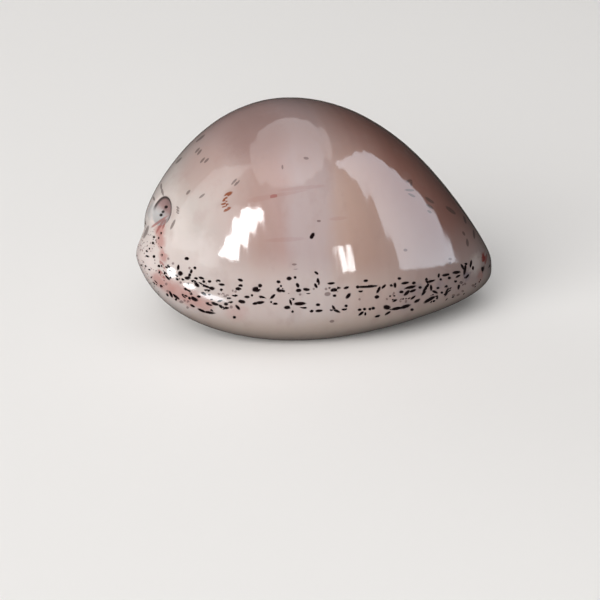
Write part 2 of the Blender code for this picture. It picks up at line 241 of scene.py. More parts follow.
GREY_DASHES = [
    (198.4, 140, 203.6, 135.8, 2.2), (197, 141, 199, 139.5, 1.6), (196, 152, 199, 148.4, 1.5),
    (198, 154, 201, 150, 1.5), (201, 162, 204, 158.4, 1.4), (205, 162, 208, 159, 1.4),
    (176.5, 162.5, 181, 158.5, 2), (187, 193.6, 189.4, 191, 1.6), (200, 197.4, 204, 194.4, 1.2),
    (177, 207, 178.6, 208.6, 1.2), (177, 209.6, 178.6, 211, 1.2), (177, 212, 178.4, 213, 1.2),
    (232, 184, 236, 179.6, 1.2), (235, 185, 239, 181, 1.2), (171, 228, 174.6, 221, 1.8),
    (161, 184, 161.5, 189, 1.4), (161.5, 189, 163.4, 195, 1.6), (153, 197, 154.6, 200, 1.5),
    (148, 228, 144, 236, 3.4), (407, 181.6, 411, 180.4, 1.9), (411.4, 181, 411, 185, 1.7),
    (406, 190, 413, 190.4, 1.7), (409, 194, 414.4, 196.4, 1.6), (426, 198, 433, 202.4, 2.3),
    (427, 205, 432.4, 208, 1.9), (428, 211, 431, 212.4, 1.6), (447, 207.6, 454.6, 213, 3),
    (467, 240.4, 467.8, 245, 2.4), (473.6, 231, 474.2, 237.6, 2), (463, 232.6, 464.6, 234.4, 1.8),
    (464, 217, 465.6, 222.4, 2),
]
BROWN_DASHES = [
    (226, 195.4, 230.6, 193, 2.8), (223.6, 200.4, 226.4, 198, 1.8), (222.6, 204, 226, 202, 2.2),
    (223, 206.8, 227.4, 204.4, 1.8), (225, 210.6, 229.6, 208, 2),
]
ROSY_STREAKS = [
    (166, 217, 152, 227, 2), (165, 218.6, 157, 232, 2.2), (166, 220, 163, 228, 1.8),
    (271, 196.6, 276.6, 195.6, 2.6), (485, 263, 486.6, 255, 2.2), (159, 271, 164, 277, 3),
    (160.4, 262, 165, 268, 2.4),
]
BLUSHES = [
    (250, 200.6, 271, 196.6, 4.4), (276, 195, 310, 188, 4.0), (268, 240.4, 302, 238.8, 3.4),
    (160, 232, 161, 250, 3.4), (282, 190, 322, 186, 3.0), (331, 219, 345, 218, 2.6),
    (162, 250, 166, 268, 3.6),
]

# The kinds of marks, in the order of their numbers: the listed marks, their colour and its strength. The
# first kind, the dark spots, has its colour in the panel.
DARK, FAINT = 0, 1
MARK_KINDS = [
    (BACK_SPOTS + REAR_SPOTS + SIDE_SPOTS + FRONT_SPOTS, None, 1.0),
    (FAINT_SPOTS, (0.12, 0.07, 0.07), 0.65),
    (GREY_DASHES, (0.085, 0.06, 0.055), 0.65),
    (BROWN_DASHES, (0.22, 0.05, 0.012), 0.9),
    (ROSY_STREAKS, (0.30, 0.09, 0.08), 0.7),
    (BLUSHES, (0.30, 0.09, 0.08), 0.13),
]

# A mark is an ellipsoid: its breadth is spread by some pixels, and its half depth is in millimetres. The rest
# are in its half sizes: how far it is looked for, where its colour sets in and is full, and its raggedness.
MARK_SPREAD = 0.8
MARK_DEPTH = 1.2
MARK_REACH = 4.0
MARK_EDGE = (1.25, 0.75)
MARK_RAGGEDNESS = 0.6

# Scattered marks: how many, and the ranges of their lengths and breadths in millimetres. The far ones are in
# the band on the side that the photograph doesn't show, the rear specks are on the rear lobe, and the end
# specks are near both ends of the side that it shows, in some shares of the band's height.
FAR_SPOTS = (210, (0.0, 1.9), (0.28, 0.62))
FAR_SPECKS = (90, (0.0, 0.3), (0.18, 0.30))
REAR_SPECKS = (240, (0.0, 0.2), (0.16, 0.34))
END_SPECKS = (80, (0.0, 0.8), (0.32, 0.44))
REAR_SPECKS_BEFORE_X = -31.5
REAR_SPECKS_BELOW_PIT = 4.0
END_SPECKS_MIDDLE_X = -4.0
END_SPECKS_BEYOND = 13.0
END_SPECKS_SHARES = (0.1, 0.62)
OUTSIDE_WEIGHTS = (0.5, 1.0, 0.0)
SCATTER_SEED = 7

# How far their directions stray from the shell's length, sideways and up, by which power short ones are the
# commoner, and how far over the surface a line of sight starts, in millimetres.
STRAY_SIDEWAYS = 0.25
STRAY_UP = 0.35
SHORTNESS = 2.5
SIGHT_LIFT = 0.05

# Colours laid over the back in turn: its top, its upper front and its pale margin, as linear red, green and
# blue, with their strengths and their edges. The upper front's dark brown is partly its own colour and partly
# painted shade, where the light falls off on the upper front. An edge lies across a direction, a slow noise
# moves it along the next one, and the colour sets in and is full at two distances along the direction, in
# millimetres.
COLOUR_AND_SHADE_OVERLAYS = [
    ((0.33, 0.225, 0.215), 0.75, [((0, 0, 1), (0, 0, 5), 30.5, 42.0)]),
    # The upper front: partly its own dark brown and partly painted shade where the light falls off.
    ((0.30, 0.13, 0.10), 0.85, [((1, 0, 0.6), (0, 7, 0), 22.0, 36.0), ((0, 0, 1), (0, 0, 0), 10.0, 24.0)]),
    ((0.62, 0.54, 0.52), 0.75, [((0.12, 0, 1), (0, 0, 4), 20.5, 12.5), ((1, 0, 0), (8, 0, 0), 30.0, -12.0)]),
]
BASE_EDGE = ((0, 0, 1), (0, 0, 4), 9.0, 4.0)
BACK_SWAY = 7.0
BACK_BLUR = 1.2
MOTTLE_COLOUR = (0.36, 0.24, 0.22)
MOTTLE_STRENGTH = 0.3
MOTTLE_RANGE = (0.50, 0.80)

# The noises that vary the colours: how many of their features there are in a millimetre, and their detail.
SLOW_NOISE = (0.09, 3.0)
FINE_NOISE = (0.9, 2.0)
MOTTLE_NOISE = (0.35, 4.0)
MOTTLE_STRETCH = (1.0, 1.0, 0.6)
LINE_NOISE = (4.0, 3.0)
LINE_STRETCH = (1.0, 0.12, 0.12)

# The pit's colours and their edges: the dull floor, its darker upper slope, and the dark outline, which is
# drawn on the upper part of the rim only.
PIT_COLOUR = (0.42, 0.41, 0.41)
PIT_EDGE = (2.85, 2.6)
PIT_SLOPE_COLOUR = (0.26, 0.17, 0.165)
PIT_SLOPE_EDGE = (-1.2, 0.8)
PIT_SLOPE_LEAN = 0.5
PIT_OUTLINE_COLOUR = (0.06, 0.045, 0.043)
PIT_OUTLINE_INNER = (2.3, 2.65)
PIT_OUTLINE_OUTER = (3.1, 2.8)
PIT_OUTLINE_EDGE = (-1.8, 0.0)
PIT_OUTLINE_LEAN = 0.6
PIT_BLUR = 0.5
REAR_END = (-18.0, -22.0)

# The gloss: a smooth coat over the colour, which the marks and the pit lack, and the rougher pit.
COAT_WEIGHT = 0.35
COAT_ROUGHNESS = 0.03
PIT_ROUGHNESS = 0.35
MOTTLE_ROUGHNESS = 0.08
MOTTLE_ROUGH_RANGE = (0.4, 0.9)
LINE_DEPTH = 0.00001

# Stains and pale patches, as (centre, reach, strength, colour), in millimetres. The pale patches are partly
# the shell's whitish colour and partly painted highlights. A patch is full out to some share of its reach,
# and a fine noise moves its edge by some millimetres.
PATCH_FULL_SHARE = 0.3
PATCH_RAGGEDNESS = 2.4
ROSY = (0.48, 0.24, 0.215)
# Pale: partly the shell's whitish colour and partly a painted highlight.
PALE_AND_HIGHLIGHT = (0.72, 0.64, 0.62)
VIOLET = (0.26, 0.22, 0.26)
TAN = (0.42, 0.28, 0.25)
PATCHES = [
    ((-32.4, -3.9, 24.9), 2.6, 0.6, (0.42, 0.42, 0.43)),
    # Pale patches, partly the shell's whitish colour and partly painted highlights.
    ((-34.0, -8.0, 16.0), 3.4, 0.6, PALE_AND_HIGHLIGHT),
    ((-25.3, -15.6, 20.4), 5.0, 0.35, PALE_AND_HIGHLIGHT),
    ((29.6, -12.2, 11.5), 2.8, 0.7, PALE_AND_HIGHLIGHT),
    ((-31.7, -8.6, 22.9), 2.1, 0.85, ROSY),
    ((-31.8, -9.7, 20.9), 1.9, 0.7, ROSY),
    ((-31.5, -10.9, 18.4), 1.7, 0.7, ROSY),
    ((-32.6, -9.9, 13.2), 2.2, 0.7, ROSY),
    ((-31.1, -11.5, 12.5), 2.8, 0.65, ROSY),
    ((-29.4, -13.2, 11.8), 3.0, 0.65, ROSY),
    ((-27.2, -14.7, 10.8), 3.0, 0.65, ROSY),
    ((-24.8, -16.1, 9.9), 2.6, 0.6, ROSY),
    ((-19.5, -18.9, 8.6), 3.2, 0.35, ROSY),
    ((32.3, -9.8, 11.8), 1.5, 1.0, (0.32, 0.06, 0.05)),
    ((31.3, -11.2, 8.6), 1.6, 0.6, ROSY),
    ((27.3, -14.1, 10.1), 1.7, 0.7, VIOLET),
    ((12.4, -20.8, 10.7), 2.0, 0.28, VIOLET),
    ((15.6, -20.0, 10.6), 2.2, 0.35, VIOLET),
    ((20.8, -17.8, 10.6), 1.6, 0.3, VIOLET),
    ((13.2, -20.2, 7.6), 2.0, 0.22, VIOLET),
    ((-23.7, -8.4, 34.7), 8.0, 0.45, TAN),
    ((-13.5, -9.0, 41.0), 9.0, 0.65, (0.29, 0.19, 0.175)),
    ((31.9, -10.6, 9.6), 0.8, 0.8, (0.05, 0.02, 0.02)),
]

# How far the frame's origin lies from the origin in which the form is drawn, in millimetres.
FORM_ORIGIN = (1.665, 4.740, 0.6)

# The camera stands where the photograph was taken from. Its aim is in the part's frame, in millimetres, and
# its roll and other angles are in degrees.
CAMERA_AIM = (-3.04, -2.72, 3.11)
CAMERA_AZIMUTH = -14.06
CAMERA_ELEVATION = 23.6
CAMERA_ROLL = 0.42
CAMERA_DISTANCE = 400.0
CAMERA_LENS = 122.0
SENSOR_WIDTH = 36.0
PHOTO_SIZE = 600

# Studio lamps that are only seen in the shell's gloss: name, azimuth, elevation and roll in degrees,
# distance, width and height in metres, radiance, colour and shape. Some stand below the floor's level.
COOL = (0.97, 0.98, 1.0)
WARM = (1.0, 0.98, 0.97)
GLOSS_LAMPS = [
    ("round_lamp", -4.0, 73.0, -5.4, 0.80, 0.72, 1.85, 1.4, (1.0, 0.98, 0.98), "ELLIPSE"),
    ("right_panel", 59.0, 16.8, 5.0, 0.90, 0.72, 1.10, 4.0, (0.84, 0.90, 1.0), "RECTANGLE"),
    ("left_panel", -66.0, 23.0, 3.0, 0.90, 0.66, 0.94, 1.15, (0.97, 0.99, 1.0), "RECTANGLE"),
    ("low_panel", -39.0, 3.0, -10.0, 0.90, 0.28, 0.50, 1.2, (0.97, 0.99, 1.0), "RECTANGLE"),
    ("window", -25.0, 3.4, -20.0, 1.20, 0.20, 0.47, 18.0, COOL, "RECTANGLE"),
    ("small_window", 14.6, -9.5, 10.0, 1.20, 0.11, 0.27, 16.0, COOL, "RECTANGLE"),
    ("rear_glint", -78.0, -19.5, 0.0, 1.20, 0.19, 0.16, 14.0, COOL, "ELLIPSE"),
    ("middle_glint", -60.0, -27.5, 0.0, 1.20, 0.26, 0.10, 12.0, COOL, "ELLIPSE"),
    ("low_glint", -42.0, -33.5, 0.0, 1.20, 0.34, 0.11, 9.0, (0.90, 0.94, 1.0), "ELLIPSE"),
]

# Lamps that give the light and aren't seen in the gloss, in the same order: as in the photograph, most of it
# comes from the left and in front. The last one lights the floor alone.
LIGHT_LAMPS = [
    ("key_light", -41.0, 20.0, 0.0, 2.00, 2.40, 2.20, 4.75, (1.0, 0.985, 0.965), "RECTANGLE"),
    ("rim_light", -148.0, 12.0, 0.0, 1.00, 0.80, 0.40, 2.8, WARM, "RECTANGLE"),
    ("back_light", 158.0, 4.0, 0.0, 1.00, 1.00, 0.50, 1.4, WARM, "RECTANGLE"),
]
FLOOR_LAMP = ("floor_lamp", -20.0, 78.0, 0.0, 1.40, 2.00, 2.00, 0.80, (1.0, 1.0, 1.0), "RECTANGLE")
LAMP_TARGET = (0.0, 0.0, 0.02)
ROOM_COLOUR = (1.0, 0.98, 0.96)

# The floor's radius in metres, the colour that it fades to between two distances from the shell, which is
# painted shade, a painted falloff of the light away from the shell, and how much paler and rougher its clouds
# are.
FLOOR_RADIUS = 4.0
FLOOR_FALLOFF_SHADE = (0.60, 0.59, 0.58)
FLOOR_FALLOFF_RANGE = (0.12, 1.0)
FLOOR_CLOUDS = 1.06
FLOOR_ROUGHNESS = 0.85
CLOUD_ROUGHNESS = 0.08


class ShellSettings(bpy.types.PropertyGroup):
    """The sizes and colours of the shell."""

    teeth: bpy.props.IntProperty(
        name="Teeth", description="How many teeth each lip has", default=25, min=8, max=40
    )
    tooth_height: bpy.props.FloatProperty(
        name="Tooth height",
        description="How far the teeth rise and sink from the lip",
        default=0.00042,
        unit="LENGTH",
    )
    pit_depth: bpy.props.FloatProperty(
        name="Pit depth", description="How deep the spire is sunk", default=0.0020, unit="LENGTH"
    )
    spot_colour: bpy.props.FloatVectorProperty(
        name="Spots", description="Colour of the dark spots", default=(0.008, 0.003, 0.0035), subtype="COLOR"
    )
    base_colour: bpy.props.FloatVectorProperty(
        name="Base", description="Colour of the base", default=(0.52, 0.42, 0.37), subtype="COLOR"
    )
    roughness: bpy.props.FloatProperty(
        name="Roughness", description="Roughness of the glossy surface", default=0.08, subtype="FACTOR"
    )


class StageSettings(bpy.types.PropertyGroup):
    """The studio around the shell."""

    floor_colour: bpy.props.FloatVectorProperty(
        name="Floor", description="Colour of the floor", default=(0.84, 0.83, 0.82), subtype="COLOR"
    )
    room_light: bpy.props.FloatProperty(
        name="Room light", description="Strength of the light from all round", default=0.045, min=0.0
    )


class Term:
    """A socket of a shader. Python's operators on it add Math or Vector Math nodes."""

    def __init__(self, shader, socket):
        self.shader = shader
        self.socket = socket

    def other(self, output):
        """Another output of the same node."""
        return Term(self.shader, self.socket.node.outputs[output])

    def __add__(self, value):
        return self.shader.maths("ADD", self, value)

    def __radd__(self, value):
        return self.shader.maths("ADD", value, self)

    def __sub__(self, value):
        return self.shader.maths("SUBTRACT", self, value)

    def __rsub__(self, value):
        return self.shader.maths("SUBTRACT", value, self)

    def __mul__(self, value):
        return self.shader.maths("MULTIPLY", self, value)

    def __rmul__(self, value):
        return self.shader.maths("MULTIPLY", value, self)

    def __truediv__(self, value):
        return self.shader.maths("DIVIDE", self, value)


class Shader:
    """A material whose nodes are added one by one."""

    def __init__(self, name):
        self.material = bpy.data.materials.new(name)
        self.material.use_nodes = True
        self.tree = self.material.node_tree
        self.tree.nodes.clear()

    def node(self, kind, settings, inputs, output=0):
        """Add a node, give it its settings and then its inputs, and return one of its outputs."""
        made = self.tree.nodes.new(kind)
        for name, value in settings.items():
            if name == "stops":
                self.set_stops(made.color_ramp, value)
            else:
                setattr(made, name, value)
        for key, value in inputs.items():
            socket = made.inputs[key]
            if isinstance(value, Term):
                self.tree.links.new(value.socket, socket)
            elif socket.type in ("VECTOR", "RGBA") and not isinstance(value, (tuple, list)):
                socket.default_value = (value,) * len(socket.default_value)
            else:
                socket.default_value = value
        return Term(self, made.outputs[output]) if made.outputs else None

    def set_stops(self, ramp, stops):
        ramp.interpolation = "LINEAR"
        while len(ramp.elements) < len(stops):
            ramp.elements.new(0.5)
        for element, (position, colour) in zip(ramp.elements, stops):
            element.position = position
            element.color = (*colour, 1.0) if isinstance(colour, tuple) else (colour, colour, colour, 1.0)

    def maths(self, operation, first, second):
        terms = [t for t in (first, second) if isinstance(t, Term)]
        vector = any(t.socket.type == "VECTOR" for t in terms) or isinstance(second, tuple)
        kind = "ShaderNodeVectorMath" if vector else "ShaderNodeMath"
        return self.node(kind, {"operation": operation}, {0: first, 1: second})

    def larger(self, first, second):
        return self.maths("MAXIMUM", first, second)

    def length(self, vector):
        return self.node("ShaderNodeVectorMath", {"operation": "LENGTH"}, {0: vector}, "Value")

    def dot(self, vector, other):
        return self.node("ShaderNodeVectorMath", {"operation": "DOT_PRODUCT"}, {0: vector, 1: other}, "Value")

    def parts(self, vector):
        x = self.node("ShaderNodeSeparateXYZ", {}, {0: vector}, "X")
        return x, x.other("Y"), x.other("Z")

    def step(self, value, low, high):
        """A smooth step from 0 at low to 1 at high, or the other way round if low is above high."""
        settings = {"interpolation_type": "SMOOTHSTEP"}
        return self.node("ShaderNodeMapRange", settings, {0: value, 1: low, 2: high, 3: 0.0, 4: 1.0})

    def noise(self, vector, scale, detail=2.0, output=0):
        inputs = {"Vector": vector, "Scale": scale, "Detail": detail}
        return self.node("ShaderNodeTexNoise", {}, inputs, output)

    def mix(self, first, second, share):
        """The first colour where the share is 0 and the second where it is 1."""
        return self.node("ShaderNodeMix", {"data_type": "RGBA"}, {0: share, 6: first, 7: second}, 2)

    def profile(self, x, knots):
        """A curve or a run of colours through (x, value) knots, which may be in any range."""
        first, last = knots[0][0], knots[-1][0]
        share = self.node("ShaderNodeMapRange", {}, {0: x, 1: first, 2: last, 3: 0.0, 4: 1.0})
        stops = [((place - first) / (last - first), value) for place, value in knots]
        return self.node("ShaderNodeValToRGB", {"stops": stops}, {0: share})


def rgba(colour):
    return (*colour, 1.0)


def along_stations(values, shares):
    """A natural cubic spline through evenly spaced values, read at shares of the way from 0 to 1."""
    values = np.array(values)
    last = len(values) - 1
    system = 4 * np.eye(last + 1) + np.eye(last + 1, k=1) + np.eye(last + 1, k=-1)
    system[0], system[last] = np.eye(last + 1)[0], np.eye(last + 1)[last]
    bends = np.zeros(last + 1)
    bends[1:-1] = 6 * np.diff(values, 2)
    bends = np.linalg.solve(system, bends)
    k = np.minimum((shares * last).astype(int), last - 1)
    after = shares * last - k
    before = 1 - after
    straight = values[k] * before + values[k + 1] * after
    return straight + (bends[k] * (before**3 - before) + bends[k + 1] * (after**3 - after)) / 6


def ease(x):
    """0 below 0, 1 above 1, and a smooth step between."""
    x = np.clip(x, 0.0, 1.0)
    return x * x * (3 - 2 * x)


def lobe_reach(lobe, shares):
    """How far one lobe runs past the shell's round end, at shares of the way from that end."""
    reach, full_at, length = lobe
    return reach * ease(shares / full_at) * (1 - ease((shares - full_at) / length))


def half_sections(angles, side):
    """The knots of one side of every section, from the outer crown round the lip to the inner crown."""
    share = angles / math.pi
    swell = np.sin(angles)
    thick = swell / np.hypot(swell, END_EASE)
    along = (1 - np.cos(angles)) / 2
    x_out = REAR_POLE[0] + (FRONT_POLE[0] - REAR_POLE[0]) * along
    x_in = REAR_POLE[0] + REAR_WALL + (FRONT_POLE[0] - REAR_POLE[0] - REAR_WALL - FRONT_WALL) * along
    pole_y = REAR_POLE[1] + (FRONT_POLE[1] - REAR_POLE[1]) * along
    pole_z = REAR_POLE[2] + (FRONT_POLE[2] - REAR_POLE[2]) * along
    if side < 0:
        width = swell * along_stations(OUTER_LIP_WIDTH, share)
        lobe = lobe_reach(OUTER_FRONT_LOBE, 1 - share) - lobe_reach(OUTER_REAR_LOBE, share)
    else:
        width = swell * along_stations(COLUMELLA_WIDTH, share)
        lobe = lobe_reach(COLUMELLA_FRONT_LOBE, 1 - share) - lobe_reach(COLUMELLA_REAR_LOBE, share)

    crown = pole_z + swell * along_stations(CROWN_HEIGHT, share)
    depth = swell * along_stations(BASE_DEPTH, share)
    margin = pole_z - depth * along_stations(MARGIN_DROP, share)
    base = pole_z - depth
    middle = swell * along_stations(APERTURE_BEND, share)
    edge = middle + side * thick * along_stations(APERTURE_HALF_GAP, share)
    lip = edge + side * thick * LIP_ROUNDING
    throat = edge + side * thick * THROAT_FLARE
    base_width = side * width - lip

    floor = base + FLOOR_HEIGHT * thick
    cavity_crown = crown - CROWN_WALL * thick
    cavity_margin = floor + CAVITY_MARGIN * (cavity_crown - floor)
    cavity_rise = cavity_crown - cavity_margin
    lift = np.maximum(cavity_margin - margin, 0.0) / np.maximum(crown - margin, TINY)
    cavity_side = side * (width * (1 - lift**ARCH_POWER) ** (1 / ARCH_POWER) - SIDE_WALL * thick)
    cavity_width = cavity_side - throat

    middle_line = np.zeros_like(angles)
    arch = [math.radians(degrees) for degrees in ARCH_ANGLES]
    arch = [(math.sin(a) ** (2 / ARCH_POWER), math.cos(a) ** (2 / ARCH_POWER)) for a in arch]
    knots = [(x_out, middle_line, crown)]
    knots += [(x_out, side * width * out, margin + (crown - margin) * up) for out, up in arch]
    knots += [(x_out + 0.25 * lobe, side * width, margin)]
    knots += [
        (x_out + reach * lobe, lip + out * base_width, base + up * (margin - base))
        for out, up, reach in BASE_KNOTS
    ]
    knots += [
        (x_out + lobe, lip, base + LIP_CORNER * thick),
        (0.85 * x_out + 0.15 * x_in + lobe, edge, base + 0.5 * LIP_HEIGHT * thick),
        (0.45 * x_out + 0.55 * x_in + 0.8 * lobe, throat, base + LIP_HEIGHT * thick),
        (0.10 * x_out + 0.90 * x_in + 0.3 * lobe, throat + 0.35 * cavity_width, floor + 0.2 * thick),
        (x_in, throat + 0.82 * cavity_width, floor + 0.25 * (cavity_margin - floor)),
        (x_in, cavity_side, cavity_margin),
    ]
    knots += [(x_in, cavity_side * out, cavity_margin + cavity_rise * up) for out, up in reversed(arch)]
    knots += [(x_in, middle_line, cavity_crown)]
    knots = np.array([np.stack(knot, axis=1) for knot in knots]).transpose(1, 0, 2)
    knots[:, :, 1] += pole_y[:, None]
    return knots


def closed_curves(knots, steps):
    """Points on smooth closed curves through each section's knots, with so many steps in each span."""
    ahead = np.roll(knots, -1, axis=1)
    chords = np.linalg.norm(ahead - knots, axis=2)
    at_pole = chords.min(axis=1) <= TINY
    chords = np.maximum(chords, TINY)
    behind = np.roll(chords, 1, axis=1)
    rates = (ahead - knots) / chords[:, :, None]
    count = knots.shape[1]
    own = np.arange(count)
    system = np.zeros((len(knots), count, count))
    system[:, own, own] = 2 * (behind + chords)
    system[:, own, (own + 1) % count] = chords
    system[:, own, own - 1] = behind
    bends = np.linalg.solve(system, 6 * (rates - np.roll(rates, 1, axis=1)))
    bends[at_pole] = 0.0
    bends_ahead = np.roll(bends, -1, axis=1)
    points = []
    for k, span in enumerate(steps):
        after = (np.arange(span) / span)[None, :, None]
        before = 1 - after
        turns = bends[:, k, None] * (before**3 - before) + bends_ahead[:, k, None] * (after**3 - after)
        straight = knots[:, k, None] * before + ahead[:, k, None] * after
        points.append(straight + turns * (chords[:, k] ** 2 / 6)[:, None, None])
    return np.concatenate(points, axis=1)


def outward(rings):
    """The sections' outward directions at each point, across X."""
    run = np.roll(rings, -1, axis=1) - np.roll(rings, 1, axis=1)
    normals = np.stack([np.zeros(rings.shape[:2]), run[:, :, 2], -run[:, :, 1]], axis=2)
    return normals / np.maximum(np.linalg.norm(normals, axis=2), TINY)[:, :, None]


def section_angles(teeth):
    """Angles of the sections, close together at the ends and even along the teeth."""
    middle = (REAR_POLE[0] + FRONT_POLE[0]) / 2
    reach = (FRONT_POLE[0] - REAR_POLE[0]) / 2
    toothed = np.arccos((middle - np.linspace(TEETH_FROM, TEETH_TO, TOOTH_SECTIONS * teeth + 1)) / reach)
    rear = np.radians(np.linspace(0.0, REAR_STRETCH, REAR_SECTIONS, endpoint=False))
    neck = np.linspace(math.radians(REAR_STRETCH), toothed[0], NECK_SECTIONS, endpoint=False)
    front = np.linspace(toothed[-1], math.pi, FRONT_SECTIONS + 1)[1:]
    return np.concatenate([rear, neck, toothed, front])


def tooth_heights(x, teeth, height):
    """How far the lips are raised or sunk at each x: narrow crests and wider hollows, fading at the ends."""
    pitch = (TEETH_TO - TEETH_FROM) / teeth
    crest = 2 * ((1 + np.cos(2 * math.pi * (x - TEETH_FROM) / pitch)) / 2) ** 1.5 - 1
    fade = ease((x - TEETH_FROM) / pitch + 0.5) * ease((TEETH_TO - x) / pitch + 0.5)
    return height * crest * fade


def spire_depths(points, places, depth):
    """How far the outer surface is pressed in along the pit's axis: the pit, its whorls and its knob."""
    axis = np.array(PIT_AXIS) / np.linalg.norm(PIT_AXIS)
    sideways = np.cross(axis, (0.0, 0.0, 1.0))
    sideways /= np.linalg.norm(sideways)
    away = points - PIT_CENTRE
    flat = away - (away @ axis)[..., None] * axis
    radius = np.linalg.norm(flat, axis=-1)
    turn = np.arctan2(flat @ np.cross(axis, sideways), flat @ sideways) / (2 * math.pi)
    pit = depth * (1 - ease(radius / PIT_RADIUS)) - KNOB_HEIGHT * (1 - ease(radius / KNOB_RADIUS))
    whorls = WHORL_HEIGHT * np.cos(2 * math.pi * (radius / WHORL_PITCH - turn))
    outer_fade = (radius - WHORLS_FULL_SHARE * PIT_RADIUS) / (WHORLS_FADE_SHARE * PIT_RADIUS)
    whorls *= ease(radius / WHORLS_FROM) * (1 - ease(outer_fade))
    on_outside = (places < OUTSIDE_PLACES) & (points[..., 0] < 0)
    return (pit + whorls) * on_outside, axis


def fold_heights(points, places):
    """Faint growth ridges across the outer surface, fading out towards the lips and the poles."""
    x, y, z = points[..., 0], points[..., 1], points[..., 2]
    (across, across_wave), (up, up_wave) = FOLD_BENDS
    bent = x + FOLD_LEAN * (z - FOLD_LEVEL)
    bent = bent + across * np.sin(y / across_wave) + up * np.sin(z / up_wave + 1.0)
    height = sum(size * np.sin(2 * math.pi * bent / wave + phase) for wave, size, phase in FOLDS)
    fade = 1 - ease((places - FOLDS_LAST_PLACE) / FOLDS_PLACE_FADE)
    fade = fade * ease((x - FOLDS_FROM) / FOLDS_END_FADE) * ease((FOLDS_TO - x) / FOLDS_END_FADE)
    return height * fade


def shell_rings(settings):
    """All the sections' points, as one array of rings, in millimetres."""
    steps = SPAN_STEPS + SPAN_STEPS[::-1]
    places = np.concatenate([k + np.arange(span) / span for k, span in enumerate(steps)])
    places = np.minimum(places, len(steps) - places)
    angles = section_angles(settings.teeth)
    near, far = half_sections(angles, -1), half_sections(angles, 1)
    rings = closed_curves(np.concatenate([near, far[:, -2:0:-1]], axis=1), steps)
    normals = outward(rings)
    section_x = REAR_POLE[0] + (FRONT_POLE[0] - REAR_POLE[0]) * (1 - np.cos(angles)) / 2
    strength = np.interp(places, TOOTH_PLACES, TOOTH_STRENGTH)
    heights = np.outer(tooth_heights(section_x, settings.teeth, settings.tooth_height / MM), strength)
    heights += fold_heights(rings, places)
    rings = rings + normals * heights[:, :, None]
    depths, axis = spire_depths(rings, places, settings.pit_depth / MM)
    rings = rings - depths[:, :, None] * axis
    rings[:, :, 2] = np.maximum(rings[:, :, 2], REST_LEVEL)
    return rings


def fit_to_box(points, box):
    """Move the points, in millimetres, into a box given by its two corners in metres."""
    lowest, highest = points.min(axis=(0, 1)), points.max(axis=(0, 1))
    low, high = np.array(box[0]), np.array(box[1])
    return low + (points - lowest) / (highest - lowest) * (high - low)


def shell_mesh(points):
    """One closed smooth mesh over the rings of points."""
    rings, count = points.shape[:2]
    numbers = np.arange(rings * count).reshape(rings, count)
    behind = np.roll(numbers, 1, axis=1)
    faces = np.stack([numbers[:-1], behind[:-1], behind[1:], numbers[1:]], axis=2).reshape(-1, 4)
    mesh = bpy.data.meshes.new("shell")
    mesh.from_pydata(points.reshape(-1, 3).tolist(), [], faces.tolist())
    bm = bmesh.new()
    bm.from_mesh(mesh)
    bmesh.ops.remove_doubles(bm, verts=bm.verts, dist=WELD * MM)
    bmesh.ops.recalc_face_normals(bm, faces=bm.faces)
    bm.to_mesh(mesh)
    bm.free()
    mesh.shade_smooth()
    return mesh


def photo_ray(px, py):
    """Where the camera's ray through a pixel of the photograph starts, and its direction."""
    turn = camera_turn()
    scale = SENSOR_WIDTH / CAMERA_LENS / PHOTO_SIZE
    across, up = (px - PHOTO_SIZE / 2) * scale, (PHOTO_SIZE / 2 - py) * scale
    return camera_place(), (turn @ Vector((across, up, -1.0))).normalized()


def seen_marks(surface):
    """The marks seen in the photograph, laid on the shell: centre, axes, half sizes and kind."""
    view = -photo_ray(PHOTO_SIZE / 2, PHOTO_SIZE / 2)[1]
    level = camera_turn() @ Vector((1.0, 0.0, 0.0))
    pixel = CAMERA_DISTANCE * SENSOR_WIDTH / CAMERA_LENS / PHOTO_SIZE
    found = []
    for kind, (listed, *_) in enumerate(MARK_KINDS):
        for px, py, *far_end, breadth in listed:
            start = surface.ray_cast(*photo_ray(px, py))[0]
            end = surface.ray_cast(*photo_ray(*far_end))[0] if far_end else start
            if start is None or end is None:
                raise RuntimeError(f"The mark at pixel {px}, {py} misses the shell")
            run = (end - start) / MM
            half_breadth = (breadth + MARK_SPREAD) * pixel / 2
            along = run.normalized() if run.length > half_breadth else level
            across = view.cross(along).normalized()
            axes = (along, across, along.cross(across))
            sizes = (run.length / 2 + half_breadth, half_breadth, MARK_DEPTH)
            found.append(((start + end) / 2 / MM, axes, sizes, kind))
    return found


